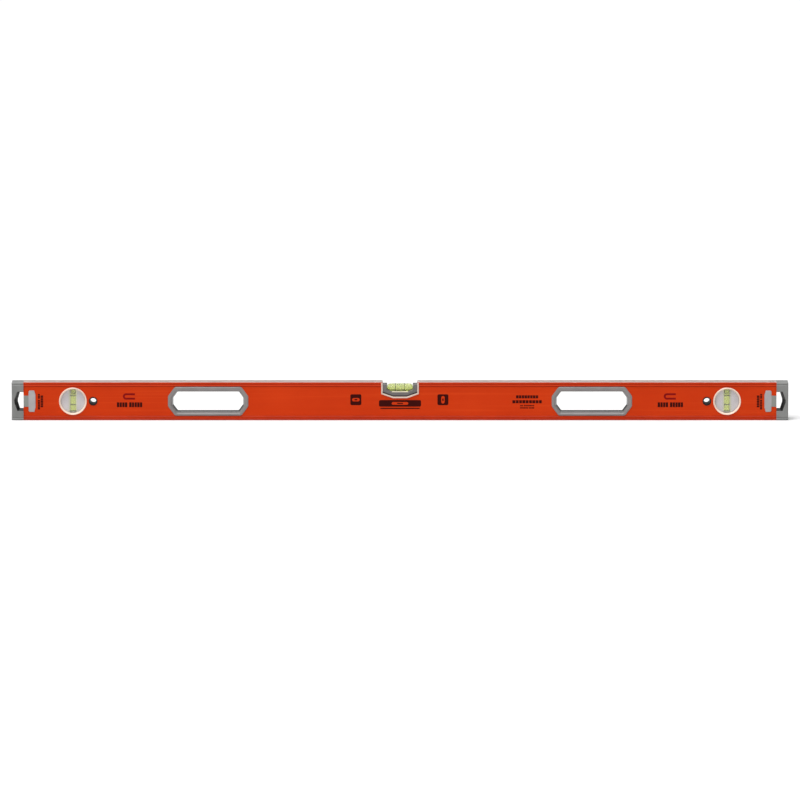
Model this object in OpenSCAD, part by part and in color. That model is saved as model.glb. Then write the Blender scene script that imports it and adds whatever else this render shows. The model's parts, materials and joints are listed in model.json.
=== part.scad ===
// Box-beam spirit level. An aluminium box frame carries a moulded cap at each end, two hand holes
// lined with soft grips, a centre vial in a notch of the top rail and a plumb vial near each end.
// Origin: centre of the bottom working face. +X runs along the level, +Y to its back, +Z up.
// Front and back are alike, and so are left and right, so each side is a mirror of the other.

/* [Level] */
// Overall length from cap to cap
level_l = 1219.2; // [1180:0.1:1260]
// Height between the two working faces
level_h = 60; // [60:0.5:62]
// Thickness across the rails
frame_t = 28; // [27.5:0.1:28.6]

/* [Box frame] */
// How far each web lies behind the rails' sides
web_recess = 1.2; // [0.8:0.1:1.6]
// Height of each rail's side
rail_h = 6.8; // [5.5:0.1:6.8]
// Thickness of the rails
rail_wall = 5; // [4.5:0.1:5]
// Thickness of the webs
web_wall = 2; // [1.6:0.1:2.4]
// Radius of the long edges
edge_r = 1.8; // [1:0.1:1.9]
// Depth of the groove along each rail's side, which runs on across the caps
groove_depth = 1; // [0.5:0.1:1.1]
// Height of the bevel along each rail's inner edge, down to the web
rail_bevel = 1.4; // [0.8:0.1:1.6]

/* [End caps] */
// Length of a cap that shows beyond the frame
cap_l = 18.6; // [18:0.1:22]
// Thickness of a cap
cap_t = 29.4; // [29:0.1:30]
// How far a cap stays below each working face
cap_relief = 0.3; // [0.2:0.1:0.6]
// Radius of a cap's upright outer edges
cap_r = 2; // [1.5:0.1:3]
// Length of the hollow tenon that plugs into the frame
tenon_l = 27; // [24:0.5:32]
// Wall of the tenon
tenon_wall = 2.4; // [2:0.1:3]
// Height of the through slot in a cap
slot_h = 30; // [26:0.5:31]
// Depth of the slot from the frame's end to its point
slot_l = 13.8; // [12:0.1:14]
// How far the slot's point draws in towards the middle plane
slot_draft = 4.5; // [1:0.1:5]

/* [Cap grips] */
// Height of the T-shaped grip's head
head_h = 34; // [30:0.5:36]
// Width of the head along the level
head_w = 11; // [10:0.1:12]
// Height of the strap that joins the head to the cap
strap_h = 17.6; // [15:0.1:19]
// Length of the strap
strap_l = 7.9; // [7:0.1:9]
// How far a grip stands proud of the web
grip_proud = 0.7; // [0.4:0.1:1]

/* [Hand holes] */
// Distance of each hand hole from the middle
hand_x = 301.2; // [280:0.1:320]
// Width of the grip's outline
hand_w = 126.3; // [120:0.1:132]
// Height of the grip's outline
hand_h = 46; // [44:0.1:46]
// Length of the corner cuts along X
hand_cut_x = 11; // [9:0.1:13]
// Height of the corner cuts
hand_cut_z = 15; // [13:0.1:16]
// Width of the rim seen from the front
hand_rim = 7.2; // [6.8:0.1:8]
// How far the walls of the hole lean in towards the middle plane
hand_draft = 1.2; // [0.5:0.1:2]
// How far the hole lies below the middle of its outline
hand_drop = 1.2; // [0:0.1:1.5]

/* [Hang holes] */
// Distance of each hang hole from the middle
hang_x = 481.7; // [478:0.1:483]
// Diameter of the hang hole
hang_d = 10; // [8:0.1:10]
// Outer diameter of the bushing's rims
hang_rim_d = 13.5; // [13.3:0.1:14]

/* [Plumb vials] */
// Distance of each plumb vial from the middle
plumb_x = 513.5; // [512:0.1:520]
// Outer diameter of the bezels
plumb_d = 43.4; // [43.4:0.1:45.5]
// Diameter of the vial block's visible face
plumb_face_d = 38; // [37:0.1:38.4]
// Diameter of the bore that holds the liquid
plumb_bore_d = 9; // [7.5:0.1:9.5]
// Distance between the two reading lines
line_gap = 14.4; // [13.5:0.1:15]

/* [Centre vial] */
// Half width of the frame's notch
notch_w = 27.8; // [27.8:0.1:29]
// Height of the barrel vial's axis above the bottom face
vial_z = 50.3; // [50:0.1:50.6]
// Diameter of the barrel vial
vial_d = 13.2; // [12.8:0.1:13.4]
// Diameter of the vial's bore at its middle
vial_bore_d = 9.2; // [8.8:0.1:9.6]
// Width of the bezel seen from the front
bezel_w = 2.4; // [2.2:0.1:3]

/* [Magnets] */
// Diameter of the magnets in the bottom rail
magnet_d = 9.5; // [8:0.5:10]
// Thickness of the magnets
magnet_t = 3.2; // [2:0.1:3.5]

/* [Hidden] */
$fn = 64;
past = 1;              // how far a cutting shape runs past what it cuts
thin = 0.01;           // a slab's thickness where a hull joins two outlines
fit = 0.1;             // gap round a piece that drops into an opening
frame_l = level_l - 2 * cap_l;
frame_end = frame_l / 2;
mid_z = level_h / 2;
groove_h = 3.2;        // height of each side groove
groove_z = 3.5;        // distance of a groove's middle from the nearer working face
rail_y = frame_t / 2;
web_y = rail_y - web_recess;
cavity_y = web_y - web_wall;
orange = "#cf3e0d";
cap_grey = "#828282";
grip_grey = "#a9a5a5";
liner_grey = "#8a8480";
cream = "#f0d9c8";
dark_grey = "#4a4745";
black = "#1c1b1b";
acrylic = [0.88, 0.88, 0.92, 0.5];
spirit = [0.74, 0.78, 0.36, 0.8];
air = [0.95, 0.97, 0.85, 0.6];

// Unit normal on the right of the line from a to b, which is outward on an anticlockwise outline
function normal(a, b) = let (d = b - a) [d.y, -d.x] / norm(d);
// The outline p moved outward by g, with mitred corners
function grown(p, g) = [
    for (i = [0 : len(p) - 1])
        let (
            before = normal(p[(i + len(p) - 1) % len(p)], p[i]),
            after = normal(p[i], p[(i + 1) % len(p)])
        )
        p[i] + g * (before + after) / (1 + before * after)
];
function shifted(p, d) = [for (q = p) q + d];
// The right half of an outline, lowest point first, completed with its mirror about x = 0
function both_halves(half) =
    concat(half, [for (i = [len(half) - 1 : -1 : 0]) [-half[i].x, half[i].y]]);

// A flat outline in X and Z, made length thick along Y and centred on the middle plane
module along_y(length) { rotate([90, 0, 0]) linear_extrude(length, center = true) children(); }
// An outline in Y and Z, made length thick along X and centred
module along_x(length) {
    rotate([90, 0, 90]) linear_extrude(length, center = true) children();
}
// A thin slab of the outline p at a given Y, for hulls
module slab(y, p) { translate([0, y, 0]) along_y(thin) polygon(p); }
module sided(side) { mirror([side < 0 ? 1 : 0, 0, 0]) children(); }
module faced(face) { mirror([0, face < 0 ? 1 : 0, 0]) children(); }
// A rectangle centred across and standing on y = low, with rounded corners
module rounded_rect(w, low, high, r) {
    translate([-w / 2 + r, low]) square([w - 2 * r, high - low]);
    translate([-w / 2, low + r]) square([w, high - low - 2 * r]);
    for (x = [-w / 2 + r, w / 2 - r], y = [low + r, high - r]) translate([x, y]) circle(r);
}
// V grooves along both sides of a section in Y and Z that is half_t thick each way
module grooves(half_t) {
    for (s = [-1, 1], z = [groove_z, level_h - groove_z]) polygon([
        [s * (half_t + past), z - groove_h / 2], [s * half_t, z - groove_h / 2],
        [s * (half_t - groove_depth), z],
        [s * half_t, z + groove_h / 2], [s * (half_t + past), z + groove_h / 2]
    ]);
}
// A cylinder along Y, centred on the middle plane
module cross_bore(d, length) { rotate([90, 0, 0]) cylinder(d = d, h = length, center = true); }

// ---- Outlines, in X and Z ----
// Hand hole: an octagon about its own centre
hand_outline = both_halves([
    [hand_w / 2 - hand_cut_x, -hand_h / 2], [hand_w / 2, -hand_h / 2 + hand_cut_z],
    [hand_w / 2, hand_h / 2 - hand_cut_z], [hand_w / 2 - hand_cut_x, hand_h / 2]
]);
// Slot through a cap, from the frame's end to a blunt point
slot_flat = slot_l - 4.7;
slot_point_h = 4;
function slot_outline(g) = let (
    top = slot_h / 2 + 0.55 * g,
    flat = frame_end + slot_flat + 0.65 * g,
    tip = frame_end + slot_l + g
) [
    [frame_end, mid_z - top], [flat, mid_z - top], [tip, mid_z - slot_point_h / 2],
    [tip, mid_z + slot_point_h / 2], [flat, mid_z + top], [frame_end, mid_z + top]
];
// T-shaped grip: a strap from the frame's end and a head whose corners are cut
head_cut_x = 2.1;        // cuts on the side away from the cap
head_cut_z = 7;
head_near_cut = 1.6;     // cuts on the side of the strap
head_x = frame_end - strap_l;
function t_outline(end_x) = shifted([
    [end_x, -strap_h / 2], [end_x, strap_h / 2], [head_x, strap_h / 2],
    [head_x, head_h / 2 - head_near_cut], [head_x - head_near_cut, head_h / 2],
    [head_x - head_w + head_cut_x, head_h / 2], [head_x - head_w, head_h / 2 - head_cut_z],
    [head_x - head_w, head_cut_z - head_h / 2], [head_x - head_w + head_cut_x, -head_h / 2],
    [head_x - head_near_cut, -head_h / 2], [head_x, head_near_cut - head_h / 2],
    [head_x, -strap_h / 2]
], [0, mid_z]);
// Notch for the centre vial: straight sides, then slopes down to a flat bottom
notch_shoulder_z = 42.8;
notch_bottom_z = 36.7;
notch_bottom_w = 10.8;
notch_top_z = level_h + 5;
notch_outline = both_halves([
    [notch_bottom_w, notch_bottom_z], [notch_w, notch_shoulder_z], [notch_w, notch_top_z]
]);

// ---- Box frame ----
magnet_places = [-424, -212, 0, 212, 424];
magnet_depth = 0.2;
plumb_sleeve_r = 20.7;
bushing_r = 5.9;
hand_overlap = 4.4;      // how far the grips' rims cover the web
bezel_lap = 1.8;         // how far the centre bezels cover the web
bezel_top_z = level_h - 1;

module frame_section() {
    difference() {
        rounded_rect(frame_t, 0, level_h, edge_r);
        translate([-cavity_y, rail_wall]) square([2 * cavity_y, level_h - 2 * rail_wall]);
        for (s = [-1, 1]) polygon([
            [s * web_y, rail_h], [s * rail_y, rail_h - rail_bevel],
            [s * (rail_y + past), rail_h - rail_bevel],
            [s * (rail_y + past), level_h - rail_h + rail_bevel],
            [s * rail_y, level_h - rail_h + rail_bevel], [s * web_y, level_h - rail_h]
        ]);
        grooves(rail_y);
    }
}

module bezel_shape(g) {
    intersection() {
        polygon(grown(notch_outline, g));
        translate([-level_h, 0]) square([2 * level_h, bezel_top_z + max(0, g - bezel_lap)]);
    }
}

module box_frame() {
    color(orange) difference() {
        along_x(frame_l) frame_section();
        along_y(2 * frame_t) polygon(notch_outline);
        for (s = [-1, 1]) {
            translate([0, s * (web_y + frame_t / 2), 0]) along_y(frame_t) bezel_shape(bezel_lap + fit);
            translate([s * hand_x, 0, mid_z])
                along_y(2 * frame_t) polygon(grown(hand_outline, fit - hand_overlap));
            translate([s * plumb_x, 0, mid_z]) cross_bore(2 * (plumb_sleeve_r + fit), 2 * frame_t);
            translate([s * hang_x, 0, mid_z]) cross_bore(2 * (bushing_r + fit), 2 * frame_t);
            sided(s) along_y(2 * frame_t) polygon(grown(t_outline(frame_end + past), fit));
        }
        for (x = magnet_places)
            translate([x, 0, -past]) cylinder(d = magnet_d + fit, h = magnet_t + magnet_depth + past);
    }
}

module magnets() {
    color("silver") for (x = magnet_places)
        translate([x, 0, magnet_depth]) cylinder(d = magnet_d, h = magnet_t);
}

// ---- End caps ----
cap_low = cap_relief;
cap_high = level_h - cap_relief;
cap_corner_r = 0.8;      // radius of a cap's level outer edges
slot_lip = 1.2;          // chamfer round the slot's mouth
tenon_gap = 0.2;         // gap between the tenon and the frame's inside

module cap_block() {
    intersection() {
        translate([frame_end + cap_l / 2, 0, 0]) along_x(cap_l) difference() {
            rounded_rect(cap_t, cap_low, cap_high, edge_r);
            grooves(cap_t / 2);
        }
        along_y(2 * cap_t) rounded_rect(level_l, cap_low, cap_high, cap_corner_r);
        translate([0, -cap_t / 2, 0]) linear_extrude(level_h)
            rounded_rect(level_l, 0, cap_t, cap_r);
    }
}

module cap_tenon() {
    tenon_y = cavity_y - tenon_gap;
    tenon_low = rail_wall + tenon_gap;
    difference() {
        translate([frame_end - tenon_l, -tenon_y, tenon_low])
            cube([tenon_l + thin, 2 * tenon_y, level_h - 2 * tenon_low]);
        translate([frame_end - tenon_l - past, tenon_wall - tenon_y, tenon_low + tenon_wall])
            cube([tenon_l + past - tenon_wall, 2 * (tenon_y - tenon_wall),
                  level_h - 2 * (tenon_low + tenon_wall)]);
    }
}

module end_cap(side) {
    color(cap_grey) sided(side) difference() {
        union() {
            cap_block();
            cap_tenon();
        }
        for (f = [-1, 1]) faced(f) {
            hull() {
                slab(0, slot_outline(-slot_draft));
                slab(cap_t / 2 - slot_lip, slot_outline(0));
            }
            hull() {
                slab(cap_t / 2 - slot_lip, slot_outline(0));
                slab(cap_t / 2 + thin, slot_outline(slot_lip));
            }
        }
        along_y(2 * cap_t) polygon(grown(t_outline(frame_end + thin), fit / 2));
    }
}

module cap_grip(side) {
    color(grip_grey) sided(side) along_y(2 * (web_y + grip_proud)) polygon(t_outline(frame_end));
}

// ---- Hand holes ----
hand_rim_t = 1.5;        // how far the rim stands out from the web
hand_rim_slope = 1.4;    // width of the rim's bevelled outer edge

// One half of a grip, from its rim on the web to the middle plane
module hand_grip(side, face) {
    rim_y = web_y + hand_rim_t;
    color(liner_grey) translate([side * hand_x, 0, mid_z]) faced(face) difference() {
        union() {
            hull() {
                slab(web_y + thin / 2, hand_outline);
                slab(web_y + hand_rim_t / 2, grown(hand_outline, -hand_rim_slope / 3));
                slab(rim_y - thin / 2, grown(hand_outline, -hand_rim_slope));
            }
            translate([0, web_y / 2, 0]) along_y(web_y) polygon(grown(hand_outline, -hand_overlap));
        }
        hull() {
            slab(-thin, shifted(grown(hand_outline, -hand_rim - hand_draft), [0, -hand_drop]));
            slab(rim_y + thin, shifted(grown(hand_outline, -hand_rim), [0, -hand_drop]));
        }
    }
}

// ---- Hang holes ----
bushing_rim_t = 0.5;     // thickness of the bushing's rims on the web

module hang_bushing(side) {
    color(black) translate([side * hang_x, 0, mid_z]) difference() {
        union() {
            cross_bore(2 * bushing_r, 2 * (web_y + bushing_rim_t));
            for (f = [-1, 1]) translate([0, f * (web_y + bushing_rim_t / 2), 0])
                cross_bore(hang_rim_d, bushing_rim_t);
        }
        cross_bore(hang_d, 2 * frame_t);
    }
}

// ---- Plumb vials: a round clear block with an upright bore ----
block_r = plumb_face_d / 2 + 0.5;
block_y = 8.6;           // half thickness of the block
bezel_front_y = web_y + 1.4;
bore_top_z = 17.8;       // heights from the vial's own centre
bore_low_z = -17;
plug_low_z = -block_r + 0.8;
bubble_gap = 0.4;        // film of liquid between a bubble and its bore
bubble_h = 8.3;
line_w = 0.8;            // width of a reading line
line_t = 0.15;           // thickness of a reading line

module at_plumb(side) { translate([side * plumb_x, 0, mid_z]) children(); }
module upright(r, low, high) { translate([0, 0, low]) cylinder(r = r, h = high - low); }

module plumb_vial(side) {
    color(acrylic) at_plumb(side) difference() {
        cross_bore(2 * block_r, 2 * block_y);
        upright(plumb_bore_d / 2, -block_r - past, bore_top_z);
    }
}

module plumb_lines(side) {
    color(black) at_plumb(side) for (z = [-line_gap / 2, line_gap / 2]) difference() {
        upright(plumb_bore_d / 2, z - line_w / 2, z + line_w / 2);
        upright(plumb_bore_d / 2 - line_t, z - line_w, z + line_w);
    }
}

// A rounded pocket of air at the top of the bore, or the same shape larger by gap
module air_pocket(gap) {
    half = plumb_bore_d / 2 - bubble_gap + gap;
    rotate_extrude() intersection() {
        rounded_rect(2 * half, bore_top_z - bubble_gap / 2 - bubble_h - gap,
                     bore_top_z - bubble_gap / 2 + gap / 2, 1.8);
        square([half, bore_top_z]);
    }
}

module plumb_liquid(side) {
    color(spirit) at_plumb(side) difference() {
        upright(plumb_bore_d / 2, bore_low_z, bore_top_z);
        for (z = [-line_gap / 2, line_gap / 2]) difference() {
            upright(plumb_bore_d / 2 + past, z - line_w / 2, z + line_w / 2);
            upright(plumb_bore_d / 2 - line_t, z - line_w, z + line_w);
        }
        air_pocket(bubble_gap / 4);
    }
}

module plumb_bubble(side) { color(air) at_plumb(side) air_pocket(0); }

module plumb_plug(side) {
    color("white") at_plumb(side) upright(plumb_bore_d / 2, plug_low_z, bore_low_z);
}

// Sleeve round the block, a lip that holds it and a ring on the web, bevelled both ways
module plumb_bezel(side, face) {
    lip_r = plumb_face_d / 2;
    color(cream) at_plumb(side) faced(face) rotate([-90, 0, 0]) rotate_extrude() polygon([
        [plumb_sleeve_r, 0], [plumb_sleeve_r, web_y], [plumb_d / 2, web_y],
        [plumb_d / 2, web_y + 0.7], [plumb_d / 2 - 0.7, bezel_front_y],
        [plumb_d / 2 - 1, bezel_front_y], [lip_r, bezel_front_y - 2], [lip_r, block_y + 0.05],
        [block_r + 0.05, block_y + 0.05], [block_r + 0.05, 0]
    ]);
}

// ---- Centre vial: a barrel-shaped tube in a housing that is open to the front, back and top ----
housing_y = 12.6;        // half thickness of the housing
housing_core_y = 8.6;    // and where its lower edge fills the notch
housing_gap = 1.8;       // height of the groove between its faces and the bezels
housing_top_z = 55.8;
trough_y = 7.5;          // half width of the trough that the vial lies in
trough_z = 43.3;
lip_z = [45.2, 44.2];    // heights of a lip beside the trough, at its inner and outer edge
window_low_w = 12.5;     // half width of the window at its floor
window_rise = 3.2;       // how far the floor rises towards the window's sides
barrel_l = 10;           // half length of the barrel's straight middle
taper_l = 19.8;          // half length to the end of its tapers
taper_r = 3.6;
journal_r = 3;
journal_l = 23;
bore_l = 16;             // half length of the bore
bore_crown_r = 600;      // radius of the bore's barrel curve, which brings the bubble back to the middle
plug_r = 1.5;
centre_bubble_r = 1.5;
centre_bubble_l = 12;
centre_bubble_drop = 0.4; // gap between the bubble and the top of the bore
bezel_front = web_y + 1.8;

module on_vial_axis() { translate([0, 0, vial_z]) rotate([0, 90, 0]) children(); }
module both_ends() { for (s = [-1, 1]) sided(s) children(); }

module centre_bezel(face) {
    color(cream) faced(face) translate([0, (web_y + bezel_front) / 2, 0])
        along_y(bezel_front - web_y) difference() {
            bezel_shape(bezel_lap);
            polygon(grown(notch_outline, bezel_lap - bezel_w));
        }
}

// The housing's window in X and Z, with its floor at a height and its sides moved out by g
function window(floor_z, g = 0) = both_halves([
    [window_low_w + g, floor_z], [taper_l + 0.4 + g, floor_z + window_rise],
    [taper_l + 0.4 + g, notch_top_z]
]);

module centre_housing() {
    outline = grown(notch_outline, bezel_lap - bezel_w - fit);
    color(dark_grey) difference() {
        intersection() {
            union() {
                along_y(2 * housing_core_y) polygon(outline);
                along_y(2 * housing_y) polygon(shifted(outline, [0, housing_gap]));
            }
            translate([-level_h, -level_h, 0]) cube([2 * level_h, 2 * level_h, housing_top_z]);
        }
        along_y(2 * trough_y) polygon(window(trough_z));
        for (f = [-1, 1]) faced(f) hull() {
            slab(trough_y - thin, window(lip_z[0]));
            slab(housing_y + thin, window(lip_z[1], 1));
        }
        on_vial_axis() cylinder(r = journal_r + fit / 2, h = 2 * (journal_l + fit), center = true);
        translate([-journal_l - fit, -journal_r - fit / 2, vial_z])
            cube([2 * (journal_l + fit), 2 * journal_r + fit, level_h]);
    }
}

function bore_r(x) = vial_bore_d / 2 - x * x / (2 * bore_crown_r);
bore_steps = 8;

module centre_bore() {
    rotate_extrude() polygon(concat(
        [[0, -bore_l]],
        [for (i = [-bore_steps : bore_steps]) let (x = bore_l * i / bore_steps) [bore_r(x), x]],
        [[0, bore_l]]
    ));
}

module centre_vial() {
    color(acrylic) on_vial_axis() difference() {
        rotate_extrude() polygon([
            [0, -journal_l], [journal_r, -journal_l], [journal_r, -taper_l], [taper_r, -taper_l],
            [vial_d / 2, -barrel_l], [vial_d / 2, barrel_l], [taper_r, taper_l],
            [journal_r, taper_l], [journal_r, journal_l], [0, journal_l]
        ]);
        centre_bore();
        cylinder(r = plug_r, h = 2 * (journal_l + past), center = true);
    }
}

// The bubble: a capsule that lies along the top of the bore, or the same shape larger by gap
module air_capsule(gap) {
    r = centre_bubble_r + gap;
    reach = centre_bubble_l / 2 - centre_bubble_r;
    translate([centre_bubble_drop + centre_bubble_r - vial_bore_d / 2, 0, 0]) {
        cylinder(r = r, h = 2 * reach, center = true);
        for (z = [-reach, reach]) translate([0, 0, z]) sphere(r);
    }
}

module centre_liquid() {
    color(spirit) on_vial_axis() difference() {
        centre_bore();
        air_capsule(fit);
    }
}

module centre_bubble() { color(air) on_vial_axis() air_capsule(0); }

module centre_lines() {
    color(black) on_vial_axis() for (x = [-line_gap / 2, line_gap / 2]) translate([0, 0, x])
        difference() {
            cylinder(r = vial_d / 2 + line_t, h = line_w, center = true);
            cylinder(r = vial_d / 2, h = 2 * line_w, center = true);
        }
}

module centre_plugs() {
    color("white") both_ends() on_vial_axis() translate([0, 0, bore_l])
        cylinder(r = plug_r, h = journal_l - bore_l - fit);
}

box_frame();
end_cap(-1);  // left_end_cap
end_cap(1);  // right_end_cap
cap_grip(-1);  // left_cap_grip
cap_grip(1);  // right_cap_grip
hand_grip(-1, -1);  // left_hand_grip_front
hand_grip(-1, 1);  // left_hand_grip_back
hand_grip(1, -1);  // right_hand_grip_front
hand_grip(1, 1);  // right_hand_grip_back
hang_bushing(-1);  // left_hang_bushing
hang_bushing(1);  // right_hang_bushing
magnets();
centre_housing();
centre_bezel(-1);  // centre_bezel_front
centre_bezel(1);  // centre_bezel_back
centre_vial();
centre_liquid();
centre_bubble();
centre_lines();
centre_plugs();
plumb_vial(-1);  // left_plumb_vial
plumb_liquid(-1);  // left_plumb_liquid
plumb_bubble(-1);  // left_plumb_bubble
plumb_lines(-1);  // left_plumb_lines
plumb_plug(-1);  // left_plumb_plug
plumb_bezel(-1, -1);  // left_plumb_bezel_front
plumb_bezel(-1, 1);  // left_plumb_bezel_back
plumb_vial(1);  // right_plumb_vial
plumb_liquid(1);  // right_plumb_liquid
plumb_bubble(1);  // right_plumb_bubble
plumb_lines(1);  // right_plumb_lines
plumb_plug(1);  // right_plumb_plug
plumb_bezel(1, -1);  // right_plumb_bezel_front
plumb_bezel(1, 1);  // right_plumb_bezel_back
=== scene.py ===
"""Looks of a box-beam spirit level: materials for its CAD parts, finer meshes, and its print."""
import json
import math

import bmesh
import bpy
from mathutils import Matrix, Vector


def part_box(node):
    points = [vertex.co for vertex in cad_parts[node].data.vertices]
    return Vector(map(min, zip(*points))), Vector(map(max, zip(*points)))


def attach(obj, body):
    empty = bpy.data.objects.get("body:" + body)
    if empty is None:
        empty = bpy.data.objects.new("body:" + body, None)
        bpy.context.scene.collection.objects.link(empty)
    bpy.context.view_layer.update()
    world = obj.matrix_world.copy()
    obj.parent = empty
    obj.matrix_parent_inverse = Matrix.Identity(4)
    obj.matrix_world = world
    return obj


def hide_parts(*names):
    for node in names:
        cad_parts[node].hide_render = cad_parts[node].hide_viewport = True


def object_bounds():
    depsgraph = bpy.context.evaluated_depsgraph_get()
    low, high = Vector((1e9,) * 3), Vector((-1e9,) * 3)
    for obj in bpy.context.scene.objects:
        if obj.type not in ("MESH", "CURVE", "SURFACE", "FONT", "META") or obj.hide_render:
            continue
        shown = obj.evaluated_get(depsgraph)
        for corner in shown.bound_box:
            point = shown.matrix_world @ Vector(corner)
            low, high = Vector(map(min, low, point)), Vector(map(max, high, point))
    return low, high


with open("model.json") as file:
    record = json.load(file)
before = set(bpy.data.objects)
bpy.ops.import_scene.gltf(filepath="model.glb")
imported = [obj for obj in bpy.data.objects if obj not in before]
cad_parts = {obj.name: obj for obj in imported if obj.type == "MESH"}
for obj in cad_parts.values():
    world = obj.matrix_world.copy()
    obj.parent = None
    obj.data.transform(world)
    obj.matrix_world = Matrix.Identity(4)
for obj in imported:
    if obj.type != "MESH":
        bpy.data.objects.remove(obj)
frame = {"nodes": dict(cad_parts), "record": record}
cad_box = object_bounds()

MM = 0.001
TIP = 0.01 * MM                                      # radius at which a turned profile closes on its axis
CREST = 0.8 * MM                                     # rounding of the edges of trims and keys
PRINT_T = 0.05 * MM                                  # how far ink stands off the web
PRINT_SEAT = 0.01 * MM                               # how far it reaches in below the web's face
BODY = "level_body"
nodes = frame["nodes"]
SIDES = (("left", -1), ("right", 1))
FACES = (("front", -1), ("back", 1))

# ---- Places, read from the frame ----
frame_low, frame_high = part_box("box_frame")
MID_Z = (frame_low.z + frame_high.z) / 2
FRAME_H = frame_high.z - frame_low.z
WEB_Y = -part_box("centre_bezel_front")[1].y          # the webs' outer faces


def middle(node):
    low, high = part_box(node)
    return (low + high) / 2


def size(node):
    low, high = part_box(node)
    return high - low


# ---- Materials ----
class Recipe:
    """One node-based material on a Principled shader. Patterns use object coordinates, in metres."""

    def __init__(self, name, roughness=0.5, **sockets):
        self.material = bpy.data.materials.new(name)
        self.material.use_nodes = True
        self.tree = self.material.node_tree
        self.shader = next(n for n in self.tree.nodes if n.type == "BSDF_PRINCIPLED")
        self.shader.inputs["Roughness"].default_value = roughness
        for socket, value in sockets.items():
            self.shader.inputs[socket.replace("_", " ")].default_value = value
        self.place = self.node("ShaderNodeTexCoord").outputs["Object"]
        self.axes = self.node("ShaderNodeSeparateXYZ", {0: self.place}).outputs

    def node(self, kind, inputs=(), **settings):
        made = self.tree.nodes.new(kind)
        for key, value in settings.items():
            setattr(made, key, value)
        for key, value in dict(inputs).items():
            if isinstance(value, bpy.types.NodeSocket):
                self.tree.links.new(value, made.inputs[key])
            else:
                made.inputs[key].default_value = value
        return made

    def stretched(self, scale):
        """Coordinates scaled along each axis, for a pattern with a direction."""
        return self.node("ShaderNodeMapping", {"Vector": self.place, "Scale": scale}).outputs[0]

    def noise(self, scale, detail=3.0, roughness=0.5, place=None):
        inputs = {"Vector": place or self.place, "Scale": scale, "Detail": detail, "Roughness": roughness}
        return self.node("ShaderNodeTexNoise", inputs).outputs["Fac"]

    def maths(self, operation, a, b=0.0, c=0.0):
        return self.node("ShaderNodeMath", {0: a, 1: b, 2: c}, operation=operation).outputs[0]

    def spread(self, value, low, high, start=0.0, end=1.0):
        """value taken from low..high to start..end, and held there beyond."""
        inputs = {"Value": value, "From Min": low, "From Max": high, "To Min": start, "To Max": end}
        return self.node("ShaderNodeMapRange", inputs, clamp=True).outputs["Result"]

    def within(self, axis, centre, reach):
        """1 where the place is nearer than reach to centre on an axis, and 0 elsewhere."""
        return self.maths("COMPARE", self.axes[axis], centre, reach)

    def far_out(self, x):
        """1 beyond a distance from the level's middle, either way."""
        return self.maths("GREATER_THAN", self.maths("ABSOLUTE", self.axes["X"]), x)

    def blend(self, share, a, b):
        """The colour a where share is 0 and b where it is 1."""
        mix = self.node("ShaderNodeMix", data_type="RGBA")
        for index, value in ((0, share), (6, a), (7, b)):
            if isinstance(value, bpy.types.NodeSocket):
                self.tree.links.new(value, mix.inputs[index])
            else:
                mix.inputs[index].default_value = value if index == 0 else (*value, 1.0)
        return mix.outputs[2]

    def colour(self, value):
        self.tree.links.new(value, self.shader.inputs["Base Color"])

    def drive(self, socket, value):
        self.tree.links.new(value, self.shader.inputs[socket])

    def bump(self, height, strength, distance):
        made = self.node("ShaderNodeBump", {"Height": height, "Strength": strength, "Distance": distance})
        self.tree.links.new(made.outputs[0], self.shader.inputs["Normal"])


def scaled(colour, by):
    return tuple(min(1.0, c * by) for c in colour)


def moulded(name, colour, roughness, grain=2200.0, depth=0.04 * MM, variation=0.10, inset=None, **sockets):
    """Plastic or rubber: soft mottling, fine moulded grain and an uneven gloss.
    inset, if there is one, takes the recipe and returns where a second colour shows, and that colour."""
    r = Recipe(name, roughness, **sockets)
    mottle = r.spread(r.noise(60.0, 4.0), 0.3, 0.7)
    shade = r.blend(mottle, scaled(colour, 1 - variation), scaled(colour, 1 + variation))
    if inset:
        where, second = inset(r)
        shade = r.blend(where, shade, second)
    r.colour(shade)
    grains = r.noise(grain, 2.0, 0.6)
    r.drive("Roughness", r.spread(grains, 0.25, 0.75, roughness - 0.07, roughness + 0.07))
    r.bump(grains, 0.5, depth)
    return r.material


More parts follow.
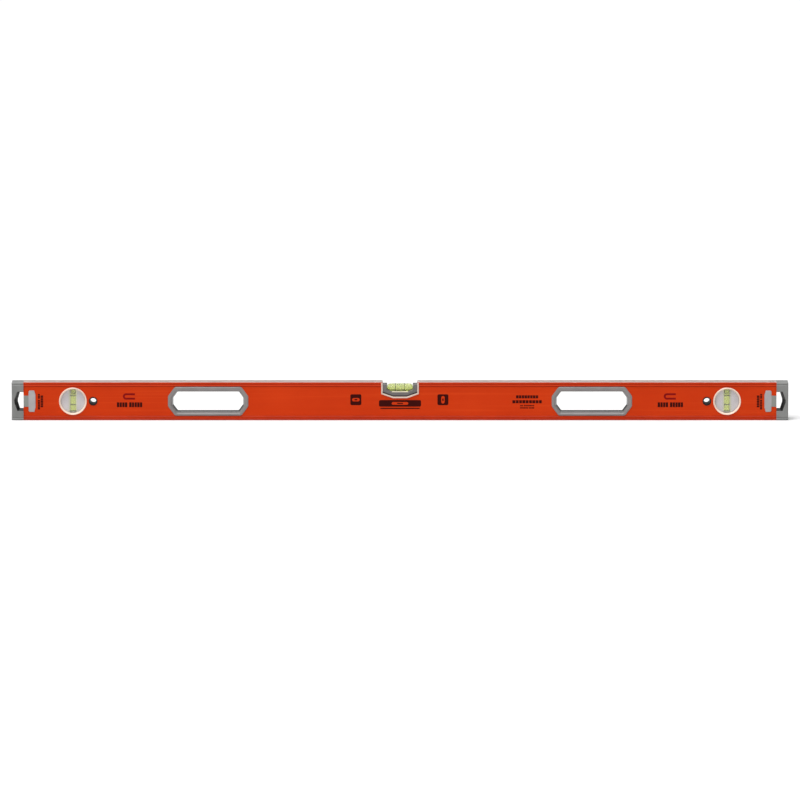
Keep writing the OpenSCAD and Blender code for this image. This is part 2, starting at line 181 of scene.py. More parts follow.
def frame_paint():
    """Orange powder coat with orange peel, worn to the metal along the milled working faces, with painted
    shade along the rails' grooves and steps and beside the working faces.
    """
    r = Recipe("frame_paint", 0.42, Specular_IOR_Level=0.08)
    from_middle = r.maths("ABSOLUTE", r.maths("SUBTRACT", r.axes["Z"], MID_Z))
    half = FRAME_H / 2
    mottle = r.spread(r.noise(14.0, 4.0), 0.3, 0.7)
    paint = r.blend(mottle, (0.545, 0.0340, 0.0020), (0.590, 0.0405, 0.0028))
    streaks = r.noise(260.0, 3.0, 0.6, r.stretched((0.012, 1.0, 1.0)))
    paint = r.blend(r.spread(streaks, 0.52, 0.72, 0.0, 0.14), paint, (0.40, 0.022, 0.0025))
    paint = r.blend(r.spread(streaks, 0.30, 0.46, 0.12, 0.0), paint, (0.86, 0.120, 0.0220))
    patches = r.spread(r.noise(35.0, 5.0, 0.7), 0.25, 0.65, 0.55, 1.0)
    # Painted shade: the paint darkens in patches beside each working face, where its rounded edge turns
    # away, and along each rail's groove and its step down to the web.
    painted_shade = r.spread(from_middle, half - 2.4 * MM, half - 0.6 * MM, 0.0, 0.6)
    for middle_in, reach, strength in ((GROOVE_IN - 0.6 * MM, 1.2 * MM, 0.55), (STEP_IN, 1.1 * MM, 0.75)):
        away = r.maths("ABSOLUTE", r.maths("SUBTRACT", from_middle, half - middle_in))
        painted_shade = r.maths("MAXIMUM", painted_shade, r.spread(away, 0.45 * reach, reach, strength, 0.0))
    paint = r.blend(r.maths("MULTIPLY", painted_shade, patches), paint, (0.26, 0.010, 0.0015))
    scuffs = r.noise(900.0, 5.0, 0.7, r.stretched((0.25, 1.0, 1.0)))
    worn_from = r.spread(scuffs, 0.62, 0.74, half - 0.12 * MM, half - 1.0 * MM)
    bare = r.spread(r.maths("SUBTRACT", from_middle, worn_from), 0.0, 0.04 * MM)
    cutter = r.noise(700.0, 4.0, 0.6, r.stretched((3.0, 0.06, 0.06)))
    metal = r.blend(cutter, (0.76, 0.61, 0.57), (0.92, 0.75, 0.705))
    r.colour(r.blend(bare, paint, metal))
    r.drive("Metallic", bare)
    peel = r.noise(1500.0, 2.0)
    coat_gloss = r.spread(peel, 0.3, 0.7, 0.38, 0.48)
    cut_gloss = r.spread(cutter, 0.3, 0.7, 0.28, 0.46)
    r.drive("Roughness", r.node("ShaderNodeMix", {0: bare, 2: coat_gloss, 3: cut_gloss}).outputs[0])
    surface = r.node("ShaderNodeMix", {0: bare, 2: peel, 3: cutter}).outputs[0]
    r.bump(surface, 0.35, 0.03 * MM)
    return r.material


def plated():
    r = Recipe("magnet_plating", 0.22, Metallic=1.0)
    r.colour(r.blend(r.noise(400.0), (0.52, 0.51, 0.49), (0.72, 0.71, 0.70)))
    swirl = r.noise(2500.0, 3.0)
    r.drive("Roughness", r.spread(swirl, 0.3, 0.7, 0.15, 0.35))
    r.bump(swirl, 0.2, 0.01 * MM)
    return r.material


def clear(name, tint, roughness, cloud, **sockets):
    """A see-through plastic or liquid, with faint clouding so that it isn't perfectly even."""
    r = Recipe(name, roughness, **sockets)
    haze = r.spread(r.noise(120.0, 4.0), 0.3, 0.7)
    r.colour(r.blend(haze, tint, scaled(tint, 1 - cloud)))
    r.drive("Roughness", r.spread(r.noise(500.0), 0.3, 0.7, roughness * 0.6, roughness * 1.4))
    return r.material


def painted_slot_shade(r):
    """Painted shade: near black on the walls of a cap's slot, stopping short of the cap's outer end."""
    slot = r.maths("MULTIPLY", r.within("Y", 0.0, 13.9 * MM), r.within("Z", MID_Z, 15.6 * MM))
    inner = r.maths("SUBTRACT", 1.0, r.far_out(SLOT_SHADE_X))
    return r.maths("MULTIPLY", slot, inner), (0.012, 0.012, 0.012)


def strap_shade(r):
    return r.far_out(STRAP_X), (0.230, 0.240, 0.220)


def painted_liquid_glow(r):
    """Painted light: the liquid's colour, painted on the milky panels beside a plumb vial's tube as its glow
    showing through, fading away from the tube.
    """
    off_axis = r.maths("ABSOLUTE", r.maths("SUBTRACT", r.maths("ABSOLUTE", r.axes["X"]), PLUMB_X))
    return r.spread(off_axis, 4.6 * MM, 7.6 * MM, 0.85, 0.0), (0.53, 0.56, 0.24)


def painted_liner_shade(r):
    # Painted shade: the deep inner wall of a hand hole's liner, within 9.6 mm of the mid-plane, is near
    # black.
    return r.within("Y", 0.0, 9.6 * MM), (0.035, 0.035, 0.036)


def trough_shade(r):
    """Painted shade: the trough in the housing that the vial lies in is near black, so that the liquid
    stands out against it.
    """
    trough = r.maths("MULTIPLY", r.within("Y", 0.0, TROUGH_Y), r.within("X", 0.0, TROUGH_X))
    return trough, (0.016, 0.016, 0.017)


PLUMB_X = middle("right_plumb_vial").x
TROUGH_X, TROUGH_Y = 20.6 * MM, 7.45 * MM            # half length and half width of the vial's trough
GROOVE_IN = 3.5 * MM                                 # from a working face in to its rail's groove
STEP_IN = 6.2 * MM                                   # and to the bevel down to the web
# Where the painted shade in each cap's slot stops, short of the cap's outer end.
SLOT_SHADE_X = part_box("right_end_cap")[1].x - 3.8 * MM
STRAP_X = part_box("right_cap_grip")[1].x - 7.9 * MM
MATERIALS = {
    "frame_paint": frame_paint(),
    "cap_plastic": moulded("cap_plastic", (0.200, 0.203, 0.198), 0.48, inset=painted_slot_shade),
    "cap_rubber": moulded("cap_rubber", (0.365, 0.35, 0.36), 0.36, grain=3000.0, inset=strap_shade),
    "grip_rubber": moulded("grip_rubber", (0.222, 0.206, 0.202), 0.30, grain=3000.0, inset=painted_liner_shade),
    "bushing_plastic": moulded("bushing_plastic", (0.006, 0.006, 0.006), 0.45, Specular_IOR_Level=0.2),
    "magnet_plating": plated(),
    "housing_plastic": moulded("housing_plastic", (0.135, 0.125, 0.122), 0.45, inset=trough_shade),
    "bezel_plastic": moulded("bezel_plastic", (0.86, 0.69, 0.57), 0.18, grain=900.0, depth=0.006 * MM,
                             variation=0.04),
    "clear_acrylic": clear("clear_acrylic", (0.90, 0.90, 0.93), 0.06, 0.04, IOR=1.49, Alpha=0.16),
    "vial_liquid": clear("vial_liquid", (0.585, 0.665, 0.135), 0.10, 0.08, IOR=1.12,
                         Transmission_Weight=0.82),
    # The air's pale diffuse share is partly a painted highlight: it stands in for the bright reflection of a
    # bubble, while its refraction is real.
    "bubble_air": clear("bubble_air", (0.93, 0.97, 0.80), 0.05, 0.03, IOR=0.80, Transmission_Weight=0.75),
    "line_ink": moulded("line_ink", (0.012, 0.013, 0.008), 0.5, grain=4000.0),
    "plug_plastic": moulded("plug_plastic", (0.55, 0.58, 0.42), 0.4),
}
PANEL = moulded("vial_panel_plastic", (0.56, 0.535, 0.55), 0.35, grain=1200.0, depth=0.01 * MM,
                inset=painted_liquid_glow)
TRIM = moulded("trim_plastic", (0.62, 0.50, 0.42), 0.28, grain=900.0, depth=0.006 * MM, variation=0.04)
# Painted reflection: the strip's pale, yellowish colour stands in for the vial's light reflected on the
# housing's lip.
SILL_REFLECTION = moulded("vial_sill_painted_reflection", (0.58, 0.53, 0.40), 0.3, grain=1200.0, depth=0.01 * MM)
PRINT_INK = moulded("print_ink", (0.042, 0.0025, 0.0015), 0.5, grain=2600.0, depth=0.01 * MM,
                    Specular_IOR_Level=0.06)
PRINT_RED = moulded("print_red_ink", (0.22, 0.004, 0.004), 0.5, grain=2600.0, depth=0.01 * MM,
                    Specular_IOR_Level=0.06)

for part in frame["record"]["subparts"]:
    mesh = nodes[part["node"]].data
    mesh.materials.clear()
    mesh.materials.append(MATERIALS[part["material_slot"]])


# ---- Outlines: lists of (x, z) points, anticlockwise, about their own centre ----
def grown(points, by):
    """The outline moved outward by a distance, with mitred corners."""
    moved = []
    for before, here, after in zip(points[-1:] + points[:-1], points, points[1:] + points[:1]):
        normals = []
        for a, b in ((before, here), (here, after)):
            d = Vector(b) - Vector(a)
            normals.append(Vector((d.y, -d.x)).normalized())
        moved.append(Vector(here) + by * (normals[0] + normals[1]) / (1 + normals[0].dot(normals[1])))
    return [tuple(p) for p in moved]


def filleted(points, radius, steps=5):
    """The outline with each corner turned into an arc."""
    made = []
    for before, here, after in zip(points[-1:] + points[:-1], points, points[1:] + points[:1]):
        here = Vector(here)
        u, v = (Vector(before) - here).normalized(), (Vector(after) - here).normalized()
        half = u.angle(v) / 2
        reach = radius / math.tan(half)
        centre = here + (u + v).normalized() * radius / math.sin(half)
        start, end = here + u * reach - centre, here + v * reach - centre
        turn = start.angle_signed(end)
        for i in range(steps + 1):
            made.append(tuple(centre + turned(start, -turn * i / steps)))
    return made


def turned(vector, angle):
    c, s = math.cos(angle), math.sin(angle)
    return Vector((vector.x * c - vector.y * s, vector.x * s + vector.y * c))


def bar(cx, cz, w, h):
    """A rectangle about a centre."""
    left, right, low, high = cx - w / 2, cx + w / 2, cz - h / 2, cz + h / 2
    return [(left, low), (right, low), (right, high), (left, high)]


def arc(cx, cz, r, start, end, steps=16):
    """Points on an arc, from one angle in degrees to another."""
    angles = [math.radians(start + (end - start) * i / steps) for i in range(steps + 1)]
    return [(cx + r * math.cos(a), cz + r * math.sin(a)) for a in angles]


# ---- Mesh builders ----
def piece(name, points, faces, material, body, replaces=(), smooth=35.0):
    mesh = bpy.data.meshes.new(name)
    mesh.from_pydata([tuple(p) for p in points], [], faces)
    work = bmesh.new()
    work.from_mesh(mesh)
    bmesh.ops.remove_doubles(work, verts=work.verts, dist=1e-7)
    bmesh.ops.recalc_face_normals(work, faces=work.faces)
    work.to_mesh(mesh)
    work.free()
    mesh.materials.append(material)
    mesh.shade_smooth()
    mesh.set_sharp_from_angle(angle=math.radians(smooth))
    made = bpy.data.objects.new(name, mesh)
    bpy.context.scene.collection.objects.link(made)
    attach(made, body)
    if replaces:
        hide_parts(*replaces)
    return made


def lofted(rings, closed=False, ends=True):
    """Points and faces of rings joined one to the next: closed joins the last to the first."""
    count = len(rings[0])
    points = [p for ring in rings for p in ring]
    faces = []
    for i in range(len(rings) if closed else len(rings) - 1):
        a, b = i * count, (i + 1) % len(rings) * count
        faces += [(a + k, a + (k + 1) % count, b + (k + 1) % count, b + k) for k in range(count)]
    if ends and not closed:
        faces += [tuple(range(count)), tuple(range(len(points) - count, len(points)))]
    return points, faces


def add_mesh(points, faces, more, joined):
    """Adds a second mesh's points and faces to a first's."""
    faces += [tuple(i + len(points) for i in face) for face in joined]
    points += more


def ringed(outline, y, centre):
    """An outline as a ring of points at a depth y, about a centre."""
    return [(centre.x + x, y, centre.z + z) for x, z in outline]


def revolved(profile, place, segments=72):
    """A profile of (along, radius) points turned about an axis. place maps (along, a, b) to a point."""
    rings = []
    for along, radius in profile:
        angles = [2 * math.pi * k / segments for k in range(segments)]
        rings.append([place(along, radius * math.cos(a), radius * math.sin(a)) for a in angles])
    return lofted(rings)


# ---- Hand hole grips: a pillowed rim that rolls into the drafted wall ----
HAND_SIZE = size("left_hand_grip_front")
HAND_CUT = (11.0 * MM, 15.0 * MM)                    # the outline's cut corners, along and up
HAND_DROP = 1.2 * MM                                 # how far the hole lies below the outline's middle
GRIP_PROFILE = (                                     # mm in from the outline, mm off the web, drop share
    (0.0, 0.0, 0.0), (0.0, 0.20, 0.0), (0.35, 0.75, 0.0), (0.9, 1.15, 0.0), (1.6, 1.40, 0.0),
    (2.4, 1.50, 0.1), (3.2, 1.46, 0.3), (4.0, 1.24, 0.6), (4.8, 0.74, 0.8), (5.6, 0.02, 1.0),
    (6.2, -0.95, 1.0), (6.7, -2.15, 1.0), (7.05, -3.6, 1.0), (7.25, -5.2, 1.0), (8.40, -12.80, 1.0),
    (4.45, -12.80, 0.0), (4.45, -0.02, 0.0), (4.0, 0.0, 0.0)
)


def hand_outline():
    w, h = HAND_SIZE.x / 2, HAND_SIZE.z / 2
    cx, cz = HAND_CUT
    half = [(w - cx, -h), (w, -h + cz), (w, h - cz), (w - cx, h)]
    return half + [(-x, z) for x, z in reversed(half)]


def hand_grip(side, face, sign):
    node = f"{side}_hand_grip_{face}"
    centre = middle(node)
    rings = []
    for inset, rise, drop in GRIP_PROFILE:
        corner = max(1.2 * MM, (5.0 - 0.35 * inset) * MM)
        outline = filleted(grown(hand_outline(), -inset * MM), corner)
        outline = [(x, z - drop * HAND_DROP) for x, z in outline]
        rings.append(ringed(outline, sign * max(0.0, WEB_Y + rise * MM), centre))
    points, faces = lofted(rings, closed=True)
    rubber = MATERIALS["grip_rubber"]
    piece(f"{side}_hand_liner_{face}", points, faces, rubber, BODY, [node])


for side, _ in SIDES:
    for face, sign in FACES:
        hand_grip(side, face, sign)


# ---- Centre trims: U-shaped, with a rounded face ----
NOTCH = ((10.8 * MM, 36.7 * MM), (27.8 * MM, 42.8 * MM), (27.8 * MM, 65.0 * MM))    # its right half
TRIM_LAP, TRIM_W = 1.8 * MM, 2.4 * MM                # how far a trim covers the web, and its width


def trim_half(by, top):
    """The right half of the notch's outline moved outward, from its bottom up to a height."""
    outline = list(NOTCH) + [(-x, z) for x, z in reversed(NOTCH)]
    foot, knee, upper = grown(outline, by)[:3]
    return [foot, knee, (upper[0], top)]


def centre_trim(face, sign):
    node = f"centre_bezel_{face}"
    depth, top = size(node).y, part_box(node)[1].z
    steps = 5
    profile = [(0.0, 0.0)]
    for i in range(steps + 1):
        a = math.pi / 2 * i / steps
        profile.append((CREST * (1 - math.cos(a)), depth - CREST * (1 - math.sin(a))))
    profile.append((CREST + 0.1 * MM, depth))
    rings = []
    for inset, rise in profile:
        outer = trim_half(TRIM_LAP - inset, top - inset)
        inner = trim_half(TRIM_LAP - TRIM_W + inset, top - inset)
        half = outer + inner[::-1]
        outline = half + [(-x, z) for x, z in reversed(half)]
        rings.append([(x, sign * (WEB_Y + rise), z) for x, z in outline])
    points, faces = lofted(rings)
    piece(f"centre_trim_{face}", points, faces, TRIM, BODY, [node])


for face, sign in FACES:
    centre_trim(face, sign)


# ---- Cap grips: the T-shaped key with softly rounded faces ----
STRAP = (7.9 * MM, 17.6 * MM)                        # length and height of the strap
HEAD_CUT = (2.1 * MM, 7.0 * MM)                      # the cut corners on the head's far side
NEAR_CUT = 1.6 * MM                                  # and on its near side


def cap_grip(side, sign):
    node = f"{side}_cap_grip"
    centre, whole = middle(node), size(node)
    out, back, tall = whole.x / 2, -whole.x / 2, whole.z / 2
    neck = out - STRAP[0]
    outline = [
        (out, -STRAP[1] / 2), (out, STRAP[1] / 2), (neck, STRAP[1] / 2), (neck, tall - NEAR_CUT),
        (neck - NEAR_CUT, tall), (back + HEAD_CUT[0], tall), (back, tall - HEAD_CUT[1]),
        (back, HEAD_CUT[1] - tall), (back + HEAD_CUT[0], -tall), (neck - NEAR_CUT, -tall),
        (neck, NEAR_CUT - tall), (neck, -STRAP[1] / 2)
    ]
    if sign < 0:
        outline = [(-x, z) for x, z in reversed(outline)]
    face_y, steps, corner = whole.y / 2, 5, 0.55 * MM
    profile = [(CREST * (1 - math.sin(a)), face_y - CREST * (1 - math.cos(a)))
               for a in (math.pi / 2 * i / steps for i in range(steps, -1, -1))]
    profile.append((CREST + 0.08 * MM, face_y))
    profile = [(inset, -y) for inset, y in reversed(profile)] + profile
    rings = [ringed(filleted(grown(outline, -inset), corner, 4), y, centre) for inset, y in profile]
    points, faces = lofted(rings)
    piece(f"{side}_cap_key", points, faces, MATERIALS["cap_rubber"], BODY, [node])


for side, sign in SIDES:
    cap_grip(side, sign)


# ---- Vials ----
def along_x(centre):
    return lambda along, a, b: (centre.x + along, centre.y + a, centre.z + b)


def along_z(centre):
    return lambda along, a, b: (centre.x + a, centre.y + b, centre.z + along)


def along_y(centre):
    return lambda along, a, b: (centre.x + a, centre.y + along, centre.z + b)


def mirrored(profile):
    return [(-along, r) for along, r in reversed(profile)] + profile


def rounding(t):
    """The share of a barrel's taper that is over at a share t of its length: slow at first, then steep."""
    nearly_all = 0.98                                 # short of the whole, where the curve would be upright
    return (1 - math.sqrt(1 - nearly_all * t ** 4)) / (1 - math.sqrt(1 - nearly_all))


def centre_vial():
    centre, whole = middle("centre_vial"), size("centre_vial")
    outer_r, journal_l, journal_r = whole.z / 2, whole.x / 2, 3.0 * MM
    shoulder, taper_l, taper_r = 8.0 * MM, 20.1 * MM, 4.8 * MM
    profile = [(0.0, outer_r), (shoulder, outer_r)]
    steps = 12
    for i in range(1, steps + 1):
        t = i / steps
        profile.append((shoulder + t * (taper_l - shoulder), outer_r - (outer_r - taper_r) * rounding(t)))
    profile += [(taper_l + 0.02 * MM, journal_r), (journal_l - 0.3 * MM, journal_r),
                (journal_l, journal_r - 0.3 * MM), (journal_l, TIP)]
    points, faces = revolved(mirrored(profile), along_x(centre))
    glass = MATERIALS["clear_acrylic"]
    piece("centre_vial_glass", points, faces, glass, BODY, ["centre_vial"])

    wall, bore_l, end_r = 0.5 * MM, 19.3 * MM, 4.0 * MM
    bore_r = outer_r - wall
    profile = [(0.0, bore_r), (shoulder, bore_r)]
    for i in range(1, steps + 1):
        t = i / steps
        profile.append((shoulder + t * (bore_l - shoulder), bore_r - (bore_r - end_r) * rounding(t)))
    profile += [(bore_l + 0.5 * MM, end_r - 1.0 * MM), (bore_l + 0.55 * MM, TIP)]
    points, faces = revolved(mirrored(profile), along_x(centre))
    spirit = MATERIALS["vial_liquid"]
    piece("centre_vial_spirit", points, faces, spirit, BODY, ["centre_liquid"])

    centre_plugs(centre, bore_l + 0.6 * MM, journal_l)
    centre_lines(centre, outer_r)
    centre_bubble(middle("centre_bubble").x, centre, bore_r - 0.08 * MM, size("centre_bubble").x / 2)


def centre_plugs(centre, inner, outer):
    """The stopper at each end of the vial, with its rims eased."""
    plug_r, ease = size("centre_plugs").z / 2, 0.3 * MM
    outer -= 0.1 * MM
    profile = [(inner, TIP), (inner, plug_r - ease), (inner + ease, plug_r),
               (outer - ease, plug_r), (outer, plug_r - ease), (outer, TIP)]
    points, faces = revolved(profile, along_x(centre), 48)
    mirror = [(-along, r) for along, r in reversed(profile)]
    add_mesh(points, faces, *revolved(mirror, along_x(centre), 48))
    plastic = MATERIALS["plug_plastic"]
    piece("centre_vial_plugs", points, faces, plastic, BODY, ["centre_plugs"])


def centre_lines(centre, glass_r):
    """The two reading lines: thin printed rings round the glass, domed across their width."""
    half_w, rise, foot, segments = 0.35 * MM, 0.12 * MM, 0.02 * MM, 72
    sunk = -0.1 * MM                                  # how far a ring reaches into the glass
    at = size("centre_lines").x / 2 - 0.6 * MM
    section = ((-half_w, foot), (-0.7 * half_w, 0.8 * rise), (0.0, rise), (0.7 * half_w, 0.8 * rise),
               (half_w, foot), (half_w, sunk), (-half_w, sunk))
    place = along_x(centre)
    points, faces = [], []
    for flip in (-1, 1):
        rings = []
        for k in range(segments):
            c, s = math.cos(2 * math.pi * k / segments), math.sin(2 * math.pi * k / segments)
            rings.append([place(flip * at + x, (glass_r + r) * c, (glass_r + r) * s) for x, r in section])
        add_mesh(points, faces, *lofted(rings, closed=True))
    piece("centre_vial_lines", points, faces, MATERIALS["line_ink"], BODY, ["centre_lines"])


def centre_bubble(x, axis, bore_r, half_l):
    """A pocket of air flattened against the top of the bore, with rounded ends."""
    depth, stations, across, power = 2.9 * MM, 24, 14, 2.5
    end_clearance = 0.32 * MM                         # so that the ends clear the bore's taper at the stops
    rings = []
    for i in range(stations + 1):
        t = math.sin(math.pi / 2 * (2 * i / stations - 1))
        share = max(1e-3, (1 - abs(t) ** power)) ** (1 / power)
        deep = depth * share
        top_r = bore_r - end_clearance * abs(t) ** 3
        half_w = math.sqrt(top_r ** 2 - (top_r - deep) ** 2)
        widths = [half_w * math.sin(math.pi / 2 * (2 * k / across - 1)) for k in range(across + 1)]
        over = [(y, math.sqrt(max(0.0, top_r ** 2 - y ** 2))) for y in widths]
        under = [(y, top_r - deep - 0.35 * deep * (1 - (y / half_w) ** 2)) for y in reversed(widths[1:-1])]
        rings.append([(x + t * half_l, axis.y + y, axis.z + z) for y, z in over + under])
    points, faces = lofted(rings)
    piece("centre_vial_bubble", points, faces, MATERIALS["bubble_air"], "centre_bubble",
          ["centre_bubble"], smooth=60.0)


def plumb_vial(side):
    centre, whole = middle(f"{side}_plumb_vial"), size(f"{side}_plumb_vial")
    edge = 0.5 * MM
    half_t, outer_r = whole.y / 2, whole.x / 2
    profile = [(0.0, outer_r), (half_t - edge, outer_r), (half_t - 0.2 * edge, outer_r - 0.3 * edge),
               (half_t, outer_r - edge), (half_t, outer_r - 2 * edge), (half_t, TIP)]
    points, faces = revolved(mirrored(profile), along_y(centre), segments=96)
    piece(f"{side}_plumb_block", points, faces, MATERIALS["clear_acrylic"], BODY,
          [f"{side}_plumb_vial"])

    low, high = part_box(f"{side}_plumb_liquid")
    bore_r = (high.x - low.x) / 2
    top, bottom = high.z - centre.z, low.z - centre.z
    end = 1.2 * MM
    profile = [(bottom, TIP), (bottom, bore_r - 0.3 * MM), (bottom + 0.3 * MM, bore_r),
               (top - end, bore_r), (top - 0.35 * end, bore_r - 0.3 * end),
               (top, bore_r - end), (top, TIP)]
    points, faces = revolved(profile, along_z(centre))
    piece(f"{side}_plumb_spirit", points, faces, MATERIALS["vial_liquid"], BODY,
          [f"{side}_plumb_liquid"])

    low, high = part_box(f"{side}_plumb_bubble")
    r, h = (high.x - low.x) / 2, high.z - low.z
    base = low.z - centre.z
    profile = [(0.0, TIP)]
    steps = 10
    for i in range(1, steps + 1):                     # a rounded meniscus below
        a = math.pi / 2 * i / steps
        profile.append((0.32 * h * (1 - math.cos(a)), r * math.sin(a)))
    for i in range(1, steps + 1):                     # and a flatter dome above
        a = math.pi / 2 * i / steps
        profile.append((h * (0.78 + 0.22 * math.sin(a)), max(TIP, r * math.cos(a) ** 0.7)))
    profile = [(base + along, radius) for along, radius in profile]
    points, faces = revolved(profile, along_z(centre))
    piece(f"{side}_plumb_air", points, faces, MATERIALS["bubble_air"], f"{side}_plumb_bubble",
          [f"{side}_plumb_bubble"], smooth=60.0)


def vial_sill(face, sign):
    """A pale strip that lies on the housing's sloping lip, beside the trough under the vial: a painted
    reflection of the lit vial on the lip.
    """
    ease, thick = 0.15 * MM, 0.2 * MM
    inner_y, inner_z, inner_w = 7.6 * MM, 45.2 * MM, 12.3 * MM
    outer_y, outer_z, outer_w = 12.4 * MM, 44.25 * MM, 13.1 * MM
    rings = []
    for t, lift in ((0.0, 0.5), (0.04, 1.0), (0.96, 1.0), (1.0, 0.5)):
        y, z = inner_y + t * (outer_y - inner_y), inner_z + t * (outer_z - inner_z)
        half_w = inner_w + t * (outer_w - inner_w)
        top = z + lift * thick
        rings.append([(x, sign * y, h) for x, h in (
            (-half_w, z), (half_w, z), (half_w, top - 0.5 * lift * thick), (half_w - ease, top),
            (ease - half_w, top), (-half_w, top - 0.5 * lift * thick))])
    points, faces = lofted(rings)
    piece(f"centre_vial_sill_{face}", points, faces, SILL_REFLECTION, BODY, smooth=20.0)


def plumb_panels(side):
    """Milky panels inside the clear block, on both sides of its upright window."""
    centre = middle(f"{side}_plumb_vial")
    r, window, edge = 19.2 * MM, 4.75 * MM, 0.25 * MM
    face_y = size(f"{side}_plumb_vial").y / 2
    turn = math.degrees(math.acos((window + edge) / r))
    for face, sign in FACES:
        points, faces = [], []
        for flip in (-1, 1):
            outline = [(flip * x, z) for x, z in arc(0.0, 0.0, r, -turn, turn, 40)]
            rings = [ringed(grown(outline if flip > 0 else outline[::-1], -inset), sign * y, centre)
                     for inset, y in ((edge, face_y - 0.3 * MM), (0.0, face_y - 0.3 * MM - edge),
                                      (0.0, face_y - 1.3 * MM))]
            add_mesh(points, faces, *lofted(rings))
        piece(f"{side}_plumb_panel_{face}", points, faces, PANEL, BODY)


centre_vial()
for face, sign in FACES:
    vial_sill(face, sign)
for side, _ in SIDES:
    plumb_vial(side)
    plumb_panels(side)

# ---- Print on the front web: plain bars and simple signs, with no lettering ----
def printed(name, outlines, material, corner=0.25 * MM):
    """Flat inked shapes standing a hair proud of the front web. Each outline has its own corners rounded."""
    points, faces = [], []
    for outline in outlines:
        shape = filleted(outline, corner, 3)
        rings = [[(x, y, z) for x, z in shape] for y in (PRINT_SEAT - WEB_Y, -WEB_Y - PRINT_T)]
        add_mesh(points, faces, *lofted(rings))
    piece(name, points, faces, material, BODY)


def row_of_blocks(centre, z, height, counts, pitch, upright=False):
    """Rows of plain blocks that stand in for words: counts gives how many blocks each word has."""
    total = sum(counts) + 0.6 * (len(counts) - 1)
    place = -total * pitch / 2
    blocks = []
    for count in counts:
        for k in range(count):
            w = pitch * (0.80 if k % 3 else 0.88)
            block = bar(place + pitch / 2, 0.0, w, height)
            if upright:
                block = [(-v, u) for u, v in block]
            blocks.append([(centre + u, z + v) for u, v in block])
            place += pitch
        place += 0.6 * pitch
    return blocks


def horseshoe(cx, cz, r, limb, leg):
    """A plain horseshoe magnet lying open to the right."""
    outer = arc(cx, cz, r, 90, 270)
    inner = arc(cx, cz, r - limb, 270, 90)
    return [(cx + leg, cz + r)] + outer + [(cx + leg, cz - r), (cx + leg, cz - r + limb)] + inner + [
        (cx + leg, cz + r - limb)]


def print_sign(name, cx, cz, w, h, window_w, window_h):
    """A solid panel with a capsule-shaped window that has a bubble in it: a plain sign for a vial."""
    narrow = min(window_w, window_h)
    outer = filleted(bar(cx, cz, w, h), 2.4 * MM, 7)
    inner = filleted(bar(cx, cz, window_w, window_h), narrow * 0.49, 7)
    bubble = filleted(bar(cx, cz, window_w * 0.36, window_h * 0.36), narrow * 0.17, 7)
    back, front = PRINT_SEAT - WEB_Y, -WEB_Y - PRINT_T
    placed = ((outer, back), (outer, front), (inner, front), (inner, back))
    rings = [[(x, y, z) for x, z in ring] for ring, y in placed]
    points, faces = lofted(rings, closed=True)
    add_mesh(points, faces, *lofted([[(x, y, z) for x, z in bubble] for y in (back, front)]))
    piece(name, points, faces, PRINT_INK, BODY)


for side, sign in SIDES:
    x = sign * 424.5 * MM
    magnet = horseshoe(x - 5.5 * MM, 37.6 * MM, 5.0 * MM, 3.0 * MM, 14.0 * MM)
    printed(f"{side}_magnet_sign", [magnet], PRINT_RED)
    printed(f"{side}_magnet_words", row_of_blocks(x, 24.4 * MM, 7.6 * MM, (4, 5), 4.2 * MM), PRINT_INK)
    rows = row_of_blocks(sign * 566.8 * MM, 29.3 * MM, 3.2 * MM, (6, 3), 2.6 * MM, upright=True)
    rows += row_of_blocks(sign * 562.2 * MM, 29.8 * MM, 4.0 * MM, (7,), 2.7 * MM, upright=True)
    printed(f"{side}_end_words", rows, PRINT_INK, corner=0.2 * MM)

print_sign("centre_mark", 0.0, 26.6 * MM, 66.0 * MM, 10.4 * MM, 26.0 * MM, 4.6 * MM)
printed("centre_mark_line", [bar(0.0, 18.6 * MM, 62.0 * MM, 1.7 * MM)], PRINT_INK, corner=0.8 * MM)
print_sign("left_vial_sign", -69.3 * MM, 32.4 * MM, 17.2 * MM, 17.2 * MM, 12.0 * MM, 5.4 * MM)
print_sign("right_vial_sign", 67.4 * MM, 32.4 * MM, 17.2 * MM, 17.2 * MM, 5.4 * MM, 12.0 * MM)
rows = row_of_blocks(199.6 * MM, 37.0 * MM, 4.8 * MM, (8,), 4.4 * MM)
rows += row_of_blocks(199.6 * MM, 29.2 * MM, 4.8 * MM, (9,), 5.2 * MM)
rows += row_of_blocks(199.6 * MM, 23.0 * MM, 1.9 * MM, (2, 7), 2.3 * MM)
rows += row_of_blocks(199.6 * MM, 19.4 * MM, 1.9 * MM, (6, 4), 2.1 * MM)
printed("right_text_block", rows, PRINT_INK, corner=0.2 * MM)

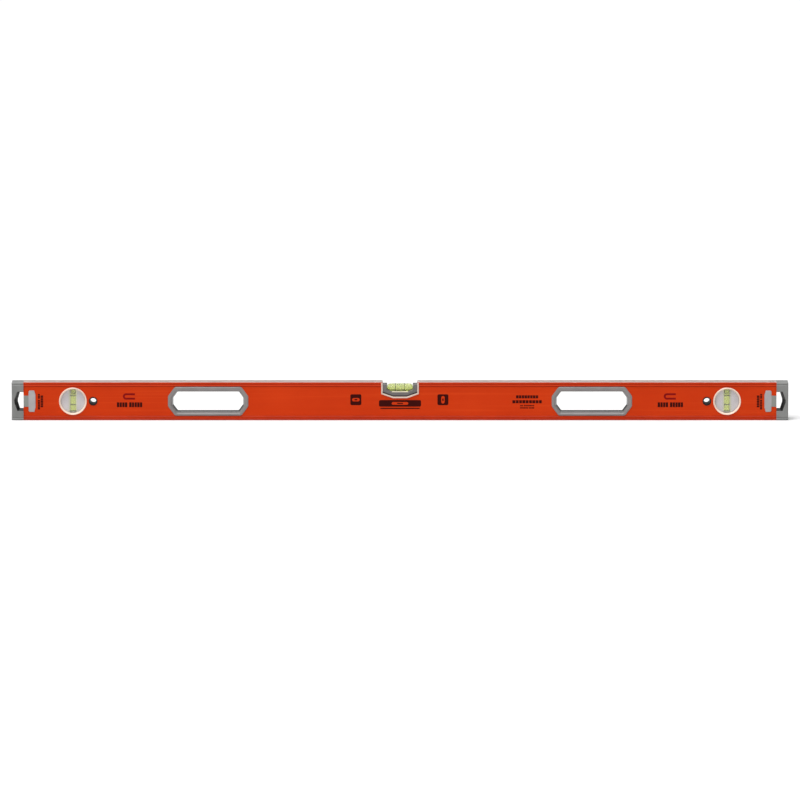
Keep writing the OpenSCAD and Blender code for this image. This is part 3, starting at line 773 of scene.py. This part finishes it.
# ---- Stage: a wide pale floor under an even, soft studio light ----
def studio_floor():
    reach = 300.0
    mesh = bpy.data.meshes.new("studio_floor")
    corners = [(-reach, -reach, 0.0), (reach, -reach, 0.0), (reach, reach, 0.0), (-reach, reach, 0.0)]
    mesh.from_pydata(corners, [], [(0, 1, 2, 3)])
    r = Recipe("studio_floor", 0.9)
    r.colour(r.blend(r.noise(3.0), (0.79, 0.79, 0.79), (0.82, 0.82, 0.82)))
    mesh.materials.append(r.material)
    floor = bpy.data.objects.new("studio_floor", mesh)
    bpy.context.scene.collection.objects.link(floor)


def aimed(data, place, target=(0.0, 0.0, 0.03)):
    made = bpy.data.objects.new(data.name, data)
    made.location = place
    made.rotation_euler = (Vector(target) - Vector(place)).to_track_quat("-Z", "Y").to_euler()
    bpy.context.scene.collection.objects.link(made)


def softbox(name, place, width, height, power):
    data = bpy.data.lights.new(name, "AREA")
    data.shape = "RECTANGLE"
    data.size = width
    data.size_y = height
    data.energy = power
    aimed(data, place)


studio_floor()
sky = bpy.data.lights.new("overhead_bank", "SUN")
sky.energy = 3.3
sky.angle = math.radians(50)
aimed(sky, (-0.5, -0.55, 2.4))
softbox("key_softbox", (-0.8, -2.0, 2.4), 1.3, 0.5, 12.0)
softbox("rear_softbox", (0.3, 2.0, 1.5), 3.0, 0.6, 9.0)

world = bpy.data.worlds.new("studio")
bpy.context.scene.world = world
world.use_nodes = True
background = world.node_tree.nodes["Background"]
background.inputs["Color"].default_value = (1.0, 1.0, 1.0, 1.0)
background.inputs["Strength"].default_value = 0.30

# ---- Camera: square on to the front, a little above, with the level across the whole view ----
ELEVATION = math.radians(8.7)
DISTANCE = 12.0
VIEW_SHARE = 0.9710                                  # of the picture's width that the level fills
low, high = cad_box
centre = (Vector(low) + Vector(high)) / 2
camera_data = bpy.data.cameras.new("camera")
camera = bpy.data.objects.new("camera", camera_data)
bpy.context.scene.collection.objects.link(camera)
camera.location = centre + DISTANCE * Vector((0, -math.cos(ELEVATION), math.sin(ELEVATION)))
camera.rotation_euler = (math.pi / 2 - ELEVATION, 0, 0)
front_distance = DISTANCE - (high[1] - low[1]) / 2
camera_data.sensor_width = 36.0
camera_data.lens = camera_data.sensor_width * VIEW_SHARE * front_distance / (high[0] - low[0])
bpy.context.scene.camera = camera
bpy.context.scene.view_settings.view_transform = "Standard"
